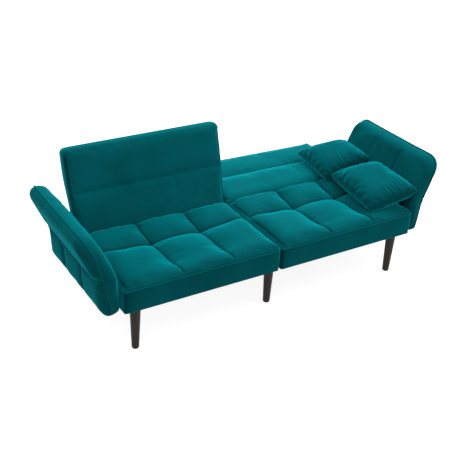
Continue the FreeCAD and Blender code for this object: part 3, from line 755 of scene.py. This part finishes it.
def back_relief(points, seam_depth, crest, pleats, wrap):
    """How far each point of a back stands out, how firmly it is held, and how much painted shade darkens it."""
    steep_share, domed_share = 0.6, 0.4
    face_fall, rear_fall, unevenness = 0.004, 0.003, 0.0008
    crest_fades_x, crest_fade = 0.40, 0.14
    pleat_spacing, pleat_slant, pleat_shade = 0.0135, 0.12, 180.0
    x, y, z = points.T
    lo, hi, radii = back_outline()
    edge, _, _ = inside_outline(x, y, lo, hi, radii)
    v = y - pivot.y
    past_roll = smooth((v + 0.03) / 0.03)
    on_face = smooth((z - pivot.z - 0.018) / 0.014) * past_roll
    on_rear = smooth((pivot.z - 0.018 - z) / 0.014) * past_roll

    # two lobes with the seam between them, and the lower one's crest nearer the seam than the hinge
    seam = np.abs(v - back_seam)
    runs_out = 0.3 + 0.7 * smooth((edge - 0.004) / 0.03)
    panel = 1.0 - (1.0 - swell(seam, 0.13)) * runs_out
    relief = -seam_depth * (1.0 - steep_share * panel - domed_share * dome(seam, 0.17)) * on_face
    lifted = np.sin(math.pi * np.clip(v / back_seam, 0.0, 1.0) ** 1.7)
    relief += crest * lifted * (1.0 - smooth((x - crest_fades_x) / crest_fade)) * on_face
    relief -= face_fall * (1.0 - swell(edge, 0.09)) * on_face
    relief -= rear_fall * (1.0 - swell(edge, 0.09)) * on_rear
    relief += unevenness * ripples(points, 0.16, 11) * on_face

    # fine pleats at the inner end of the lower lobe
    near_end = x - back_lo.x
    fan = np.sin(2.0 * math.pi * (v + pleat_slant * near_end) / pleat_spacing)
    reach = smooth(near_end / 0.004) * smooth((0.085 - near_end) / 0.07)
    reach = reach * smooth((v + 0.01) / 0.03) * smooth((back_seam - v) / 0.03)
    relief += pleats * fan * reach * on_face

    held = np.maximum(1.0 - smooth((panel - 0.2) / 0.3), 1.0 - on_face)
    # painted shade along the seam and in the pleats' valleys
    painted_shade = notch(v - back_seam, seam_width) * on_face * min(1.0, seam_depth / 0.012)
    painted_shade = np.maximum(painted_shade, pleat_shade * pleats * np.maximum(-fan, 0.0) * reach * on_face)
    if wrap:
        # a shallow groove beside the piping, and painted shade along it
        beside = notch(z - back_hi.z + piping_drop(y, wrap), 0.006) * smooth((0.014 - edge) / 0.008)
        relief -= 0.002 * beside
        painted_shade = np.maximum(painted_shade, beside)
    return relief, np.clip(held, 0.0, 1.0), painted_shade


def make_back(name, seam_depth, face_round, crest=0.0, pleats=0.0, far_growth=0.0, far_skew=0.0, wrap=0.0):
    """A back, lying flat on the right.

    crest is how far its lower lobe rises beside the seam, and pleats how deep the pleats at its inner
    end are. face_round is the radius of the face's edge, and wrap is how far the face panel turns over
    the far edge.
    """
    fine, rear_round = 0.0035, 0.024
    ends = [back_lo.x, back_lo.x + 0.09, back_hi.x] if pleats else [back_lo.x, back_hi.x]
    xs = stations(ends, fine, 0.012)
    ys = stations([back_lo.y, pivot.y + back_seam, back_hi.y], fine, 0.007 if pleats else 0.012)
    turned_over = [back_hi.z - piping_drop(back_hi.y, wrap)] if wrap else []
    zs = stations([back_lo.z, *turned_over, back_hi.z], fine, 0.010)
    points, quads = block(xs, ys, zs)
    lo, hi, radii = back_outline()
    x, y, z = points.T
    x, y = round_outline(x, y, lo, hi, radii)
    x, y, z = round_edge(x, y, z, lo, hi, radii, back_hi.z, 1.0, face_round)
    x, y, z = round_edge(x, y, z, lo, hi, radii, back_lo.z, -1.0, rear_round)
    flat = np.stack([x, y, z], 1)
    relief, held, painted_shade = back_relief(flat, seam_depth, crest, pleats, wrap)
    y, z = roll_lower_end(y, z)
    points = filled_out(np.stack([x, y, z], 1), far_growth, far_skew)
    points = points + point_normals(points, quads) * relief[:, None]
    piece = make_piece(name, points, quads, back_teal_painted_light, painted_shade)
    puff(piece, held, pressure=2.0, cap=0.004, growth=0.008)
    subdivide(piece)
    return piece


def piping_drop(y, wrap):
    """How far behind the face the piping lies."""
    return 0.0045 + wrap * smooth((y - back_hi.y + 0.030) / 0.025)


def back_piping(piece, name, wrap):
    """Piping between the face panel and the band round the three free edges."""
    lo, hi, radii = back_outline()
    inset = 0.0045
    start = pivot.y - 0.010
    ring = outline_path((lo[0] + inset, lo[1]), (hi[0] - inset, hi[1] - inset), radii)
    far = [(a, b) for a, b in ring if b > start]
    path = [(far[0][0], start), *far, (far[-1][0], start)]
    path = evened([(a, b, back_hi.z - float(piping_drop(b, wrap))) for a, b in path], 0.006)
    return tube(name, laid_on(path, piece, lift=0.0008), 0.0028, piping_dark_and_shaded)


def add_backs():
    """The right back lies flat. The left one is made lying flat on the right, then mirrored and raised."""
    right = make_back(
        "back_right_upholstery", 0.016, face_round=0.032, crest=0.011, pleats=0.0022, far_skew=-0.020
    )
    right_edge = back_piping(right, "back_right_piping", wrap=0.0)
    model = make_back("back_model", 0.0022, face_round=0.014, far_growth=0.010, wrap=0.030)
    model_edge = back_piping(model, "back_model_piping", wrap=0.030)
    to_pivot = Matrix.Translation((0.0, pivot.y, pivot.z))
    raised = to_pivot @ Matrix.Rotation(upright_turn, 4, "X") @ to_pivot.inverted() @ to_left_side
    left = copy_of(model, "back_left_upholstery", raised)
    left_edge = copy_of(model_edge, "back_left_piping", raised)
    bpy.data.objects.remove(model)
    bpy.data.objects.remove(model_edge)
    for side, piece, edge in (("right", right, right_edge), ("left", left, left_edge)):
        body = f"back_{side}"
        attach(piece, body)
        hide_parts(f"{body}_cover", f"{body}_foam")
        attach(edge, body)


# ---------------- arms
def soft_bend(z, bend_z, width):
    """0 below the bend and z - bend_z above it, turning over about width."""
    d = z - bend_z
    return 0.5 * (d + np.sqrt(d * d + width * width))


def arm_faces(z):
    """x of the right arm's inner and outer faces at a height."""
    inner_foot, inner_lean, inner_flare = 0.803, 0.034, 0.49
    outer_foot, outer_lean, outer_flare = 0.892, 0.064, 0.45
    inner_bend_z, inner_bend_width, outer_bend_width = 0.415, 0.045, 0.020
    chamfer, chamfer_height = 0.026, 0.024
    inner = inner_foot + inner_lean * (z - arm_lo.z)
    inner = inner + chamfer * np.clip((arm_lo.z + chamfer_height - z) / chamfer_height, 0.0, 1.0)
    inner = inner + (inner_flare - inner_lean) * soft_bend(z, inner_bend_z, inner_bend_width)
    outer = outer_foot + outer_lean * (z - arm_lo.z)
    outer = outer + (outer_flare - outer_lean) * soft_bend(z, arm_bend_z, outer_bend_width)
    return inner, outer


def arm_outline():
    """The arm's outline from the side, in y and z."""
    lo, hi = (arm_lo.y - 0.023, arm_lo.z - 0.003), (arm_hi.y + 0.010, arm_hi.z)
    return lo, hi, (0.050, 0.050, 0.056, 0.078)


def arm_relief(points):
    """How far each point of the arm stands out, how firmly it is held, and how much painted shade darkens it.

    points are in the arm's unflared block: thickness, y and z.
    """
    outer_depth, inner_depth, edge_fall = 0.007, 0.0025, 0.004
    gather_depth, gather_spacing, unevenness = 0.0009, 0.016, 0.0008
    t, y, z = points.T
    lo, hi, radii = arm_outline()
    edge, _, _ = inside_outline(y, z, lo, hi, radii)
    outer = smooth((t - 0.6 * arm_thickness) / (0.3 * arm_thickness))
    inner = smooth((0.4 * arm_thickness - t) / (0.3 * arm_thickness))
    runs_out = smooth((edge - 0.004) / 0.035)
    below = 1.0 - smooth((z - arm_bend_z) / 0.02)
    above = smooth((z - 0.40) / 0.05)

    # channels, below the bend outside and mostly above it inside
    channel = np.minimum(np.abs(y - arm_channels[0]), np.abs(y - arm_channels[1]))
    by_channel = swell(channel, 0.08)
    by_bend = swell(np.maximum(arm_bend_z - z, 0.0), 0.07)
    fades_above = 1.0 - smooth((z - arm_bend_z) / 0.06)
    by_bend = 1.0 - 0.6 * (1.0 - by_bend) * fades_above * runs_out
    outer_panel = (1.0 - (1.0 - by_channel) * runs_out * below) * by_bend
    inner_panel = 1.0 - (1.0 - by_channel) * runs_out * (0.25 + 0.75 * above)
    relief = -outer_depth * (1.0 - outer_panel) * outer
    relief -= inner_depth * (1.0 - inner_panel) * inner
    relief -= edge_fall * (1.0 - swell(edge, 0.09)) * (outer + inner)

    # the fabric gathers where a channel meets the edge
    gather = np.sin(2.0 * math.pi * (y + 0.4 * z) / gather_spacing)
    relief += gather_depth * gather * notch(channel, 0.028) * notch(edge - 0.03, 0.025) * inner
    relief += unevenness * ripples(points, 0.12, 23)

    share = np.where(t > arm_thickness / 2, outer_panel, inner_panel)
    held = 1.0 - smooth((share - 0.2) / 0.35)
    held = np.maximum(held, notch(z - arm_bend_z, 0.010) * outer)
    held = np.maximum(held, smooth((0.02 - (z - arm_lo.z)) / 0.01))
    # painted shade along the channels and the bend seam, less on the inner face
    seams = np.maximum(notch(channel, seam_width) * below, notch(z - arm_bend_z, seam_width)) * outer
    seams = np.maximum(seams, 0.35 * notch(channel, seam_width) * above * inner)
    return relief, held, seams * runs_out


def flared(points):
    """The unflared block bent into the arm's section, and its top stretched upward."""
    top_lift, lift_from_z = 0.017, 0.42
    t, y, z = points.T
    z = z + top_lift * smooth((z - lift_from_z) / (arm_hi.z - lift_from_z))
    inner, outer = arm_faces(z)
    share = t / arm_thickness
    return np.stack([inner + (outer - inner) * share, y, z], 1)


def make_arm():
    """The right arm."""
    outer_round, inner_round = 0.054, 0.024
    ts = stations([0.0, arm_thickness], 0.0045, 0.010)
    lo, hi, radii = arm_outline()
    ys = stations([lo[0], *arm_channels, hi[0]], 0.0035, 0.011)
    zs = stations([lo[1], arm_bend_z, hi[1]], 0.0035, 0.011)
    points, quads = block(ts, ys, zs)
    t, y, z = points.T
    y, z = round_outline(y, z, lo, hi, radii)
    y, z, t = round_edge(y, z, t, lo, hi, radii, arm_thickness, 1.0, outer_round)
    y, z, t = round_edge(y, z, t, lo, hi, radii, 0.0, -1.0, inner_round)
    block_points = np.stack([t, y, z], 1)
    relief, held, painted_shade = arm_relief(block_points)
    points = flared(block_points)
    points = points + point_normals(points, quads) * relief[:, None]
    piece = make_piece("arm_right_upholstery", points, quads, arm_teal_painted_light, painted_shade)
    puff(piece, held, pressure=2.0, cap=0.003, growth=0.007)
    subdivide(piece)
    return piece


def arm_piping(piece):
    """Piping between the outer panel and the band over the front, top and rear."""
    lo, hi, radii = arm_outline()
    inset, depth = 0.0012, 0.045
    steps = 12
    ring = outline_path(
        (lo[0] + inset, lo[1] + inset), (hi[0] - inset, hi[1] - inset), [r - inset for r in radii], steps
    )
    lowest = arm_lo.z + 0.018
    from_rear = ring[steps + 1 :] + ring[: steps + 1]
    block_path = np.array([(depth, a, b) for a, b in from_rear if b > lowest])
    path = evened(flared(block_path), 0.006)
    return tube("arm_right_piping", laid_on(path, piece, lift=0.0016), 0.0040, piping_dark_and_shaded)


def arm_bend_seam(piece):
    """The raised seam where the outer face turns out into the roll."""
    lo, hi, _ = arm_outline()
    inset = 0.022
    ys = np.linspace(lo[0] + inset, hi[0] - inset, 80)
    path = flared(np.array([(arm_thickness, y, arm_bend_z) for y in ys]))
    return tube("arm_right_bend_seam", laid_on(path, piece, lift=0.0010), 0.0028, teal)


def add_arms():
    right = make_arm()
    trims = (arm_piping(right), arm_bend_seam(right))
    left = copy_of(right, "arm_left_upholstery", to_left_side)
    left_trims = [copy_of(t, t.name.replace("right", "left"), to_left_side) for t in trims]
    for side, piece, cords in (("right", right, trims), ("left", left, left_trims)):
        body = f"arm_{side}"
        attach(piece, body)
        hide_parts(f"{body}_cover", f"{body}_foam")
        for cord in cords:
            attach(cord, body)


# ---------------- pillows
def pillow_sheet(corners, steps):
    """Two layers over a four-sided outline, sewn together round the edge.

    Returns the points' plan, their u and v across it, 1 or -1 for the upper or lower layer, and quads.
    """
    (ax, ay), (bx, by), (cx, cy), (dx, dy) = corners
    at = 0.5 - 0.5 * np.cos(np.linspace(0.0, math.pi, steps + 1))
    at = 0.5 * at + 0.5 * np.linspace(0.0, 1.0, steps + 1)
    u, v = np.meshgrid(at, at, indexing="ij")
    x = (1 - u) * ((1 - v) * ax + v * bx) + u * ((1 - v) * dx + v * cx)
    y = (1 - u) * ((1 - v) * ay + v * by) + u * ((1 - v) * dy + v * cy)
    count = (steps + 1) ** 2
    upper = np.arange(count).reshape(steps + 1, steps + 1)
    lower = upper.copy()
    lower[1:-1, 1:-1] = np.arange((steps - 1) ** 2).reshape(steps - 1, steps - 1) + count
    plan, uv = np.stack([x, y], -1), np.stack([u, v], -1)
    plan, uv = (np.concatenate([g.reshape(-1, 2), g[1:-1, 1:-1].reshape(-1, 2)]) for g in (plan, uv))
    side = np.concatenate([np.ones(count), -np.ones(len(plan) - count)])
    return plan, uv, side, np.concatenate([grid_quads(upper), grid_quads(lower, True)])


def make_pillow(name, corners, left_x, support, folds, raised):
    """A knife-edged pillow. Its left edge lies down and its right edge leans on the arm.

    corners are its corners' x and distance behind the seats' front face, at rest. It lies on the height
    support. folds are (u, v, bend, height) of each fold in its upper layer. raised is how far its right
    front and right rear corners are pushed up by the arm.
    """
    half_thickness, gather_depth = 0.059, 0.0011
    steps = 52
    squareness, fullness = 4.0, 0.52  # of the crown's plan, and of its section
    tilt_lift, clearance = 0.018, 0.0008
    stretch = math.cos(pillow_tilt)
    local = [((x - left_x) / stretch, front_y + y) for x, y in corners]
    plan, uv, side, quads = pillow_sheet(local, steps)
    u, v = uv.T
    rise = (1.0 - np.abs(2 * u - 1) ** squareness) * (1.0 - np.abs(2 * v - 1) ** squareness)
    height = side * half_thickness * np.maximum(rise, 0.0) ** fullness
    height += u * (raised[0] * (1.0 - v) + raised[1] * v)
    points = np.stack([plan[:, 0], plan[:, 1], height], 1)
    edge = np.minimum(np.minimum(u, 1 - u), np.minimum(v, 1 - v))
    gather = np.sin(46.0 * u + 3.0 * np.sin(9.0 * v)) + np.sin(41.0 * v + 2.0 * np.sin(11.0 * u))
    points[:, 2] += side * gather_depth * gather * notch(edge - 0.045, 0.035) * (edge > 0)
    for centre_u, centre_v, bend, amount in folds:
        du, dv = u - centre_u, v - centre_v
        across = du - bend * dv * dv
        fold = notch(across, 0.014) - 0.6 * notch(across - 0.026, 0.013)
        points[:, 2] += amount * fold * notch(dv, 0.11) * (side > 0)
    # painted shade: the pillow darker towards its edges, all round
    painted_edge_shade = 0.45 * (1.0 - smooth(edge / 0.10))
    piece = make_piece(name, points, quads, teal, painted_edge_shade)
    held = 1.0 - smooth((edge - 0.005) / 0.03)
    puff(piece, held, pressure=3.0, cap=0.007, growth=0.03)
    subdivide(piece)
    to_place = Matrix.Translation((left_x, 0.0, support + tilt_lift))
    piece.data.transform(to_place @ Matrix.Rotation(-pillow_tilt, 4, "Y"))
    placed = points_of(piece.data)
    lowest = support + clearance
    placed[:, 2] = lowest + np.maximum(placed[:, 2] - lowest, 0.0)
    set_points(piece.data, placed)
    return piece


def pillow_tape(name, piece, support):
    """The velvet tape that covers the zip, along the edge that leans on the arm."""
    edge_width = 0.006
    ends = (0.08, 0.92)  # as shares of the edge
    points = points_of(piece.data)
    lean = points[:, 0] * math.cos(pillow_tilt) + (points[:, 2] - support) * math.sin(pillow_tilt)
    edge = points[lean > lean.max() - edge_width]
    front, rear = edge[edge[:, 1].argmin()], edge[edge[:, 1].argmax()]
    path = evened([front + (rear - front) * share for share in ends], 0.008)
    return tube(name, laid_on(path, piece, lift=0.001), 0.0036, teal)


def add_pillows():
    """The front pillow lies on the right seat, and the rear one on the right back."""
    front_corners = [(0.573, 0.062), (0.614, 0.457), (0.826, 0.320), (0.826, 0.012)]
    rear_corners = [(0.580, 0.455), (0.622, 0.770), (0.832, 0.608), (0.832, 0.394)]
    folds = []
    for i in range(6):
        folds.append((0.46 + 0.075 * i, 0.13 + 0.022 * i, 1.4 - 0.2 * i, 0.0066 - 0.0004 * i))
    seat_top = seat_hi.z + 0.004
    back_top = back_hi.z
    front = make_pillow("pillow_front_case", front_corners, 0.585, seat_top, folds, (-0.004, 0.020))
    rear = make_pillow("pillow_rear_case", rear_corners, 0.590, back_top, folds[:1], (0.012, 0.028))
    for which, piece, support in (("front", front, seat_top), ("rear", rear, back_top)):
        body = f"pillow_{which}"
        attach(piece, body)
        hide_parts(f"{body}_cover", f"{body}_filling")
        tape = pillow_tape(f"{body}_zip_tape", piece, support)
        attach(tape, body)
        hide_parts(f"{body}_zip")
        if which == "rear":
            for soft in (piece, tape):
                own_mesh(soft)


# ---------------- studio
def add_floor():
    """A pale round floor that rises at its rim. It glows, and diffuse and shadow rays pass through it."""
    spokes, rings = 48, 24
    inner, outer = 0.5, 16.0
    flat, slope_width, height = 8.0, 12.0, 9.0
    reach = inner + (outer - inner) * np.linspace(0.0, 1.0, rings + 1)
    rise = height * smooth((reach - flat) / slope_width)
    turns = [2.0 * math.pi * k / spokes for k in range(spokes)]
    points = [(r * math.cos(t), r * math.sin(t), z) for r, z in zip(reach, rise) for t in turns]
    faces = [tuple(range(spokes))]
    for i in range(rings):
        near, far = i * spokes, (i + 1) * spokes
        for k in range(spokes):
            m = (k + 1) % spokes
            faces.append((near + k, far + k, far + m, near + m))
    paper = Finish("studio_paper")
    tone = paper.ramp(paper.noise(3.0), (0.3, (0.30, 0.30, 0.30)), (0.7, (0.32, 0.32, 0.32)))
    paper.link(tone, "Base Color")
    paper.set(roughness=0.9, emission_color=(1.0, 1.0, 1.0, 1.0), emission_strength=0.85)
    floor = make_piece("studio_floor", points, faces, paper.material)
    floor.visible_diffuse = False
    floor.visible_shadow = False


def add_sky():
    """White light from all round, strongest from above and a little from the right and the front."""
    brightest_from = Vector((0.20, -0.22, 1.0)).normalized()
    span = {"From Min": -0.32, "From Max": 1.0, "To Min": 0.19, "To Max": 1.55}
    world = bpy.data.worlds.new("studio")
    world.use_nodes = True
    tree = world.node_tree
    background = tree.nodes["Background"]
    background.inputs["Color"].default_value = (1.0, 1.0, 1.0, 1.0)
    direction = tree.nodes.new("ShaderNodeTexCoord").outputs["Generated"]
    facing = tree.nodes.new("ShaderNodeVectorMath")
    facing.operation = "DOT_PRODUCT"
    facing.inputs[1].default_value = brightest_from
    tree.links.new(direction, facing.inputs[0])
    falloff = tree.nodes.new("ShaderNodeMapRange")
    falloff.interpolation_type = "SMOOTHSTEP"
    for socket, value in span.items():
        falloff.inputs[socket].default_value = value
    tree.links.new(facing.outputs["Value"], falloff.inputs["Value"])
    tree.links.new(falloff.outputs["Result"], background.inputs["Strength"])
    scene.world = world


def add_key_light():
    """A large soft light above and beyond the right end."""
    light = bpy.data.lights.new("key", "AREA")
    light.energy = 74.0
    light.size = 2.0
    lamp = bpy.data.objects.new("key", light)
    lamp.location = (1.85, 0.20, 3.1)
    aim = Vector((-0.05, 0.0, 0.35))
    lamp.rotation_euler = (lamp.location - aim).to_track_quat("Z", "Y").to_euler()
    lamp.visible_camera = False
    scene.collection.objects.link(lamp)


def add_camera():
    """A camera to the left of the sofa's front, looking down at it and slightly rolled."""
    lens_over_width = 1.8176
    place = Vector((-2.0576, -3.2243, 2.3466))
    right = Vector((0.85198, -0.52099, 0.05192)).normalized()
    ahead = Vector((0.47550, 0.72844, -0.49323)).normalized()
    up = right.cross(ahead).normalized()
    data = bpy.data.cameras.new("camera")
    data.sensor_width = 36.0
    data.lens = data.sensor_width * lens_over_width
    camera = bpy.data.objects.new("camera", data)
    turn = Matrix((right, up, -ahead)).transposed().to_4x4()
    camera.matrix_world = Matrix.Translation(place) @ turn
    scene.collection.objects.link(camera)
    scene.camera = camera


scene.view_settings.view_transform = "Standard"
add_floor()
add_sky()
add_key_light()
add_camera()
dress_frame()
add_seats()
add_backs()
add_arms()
add_pillows()
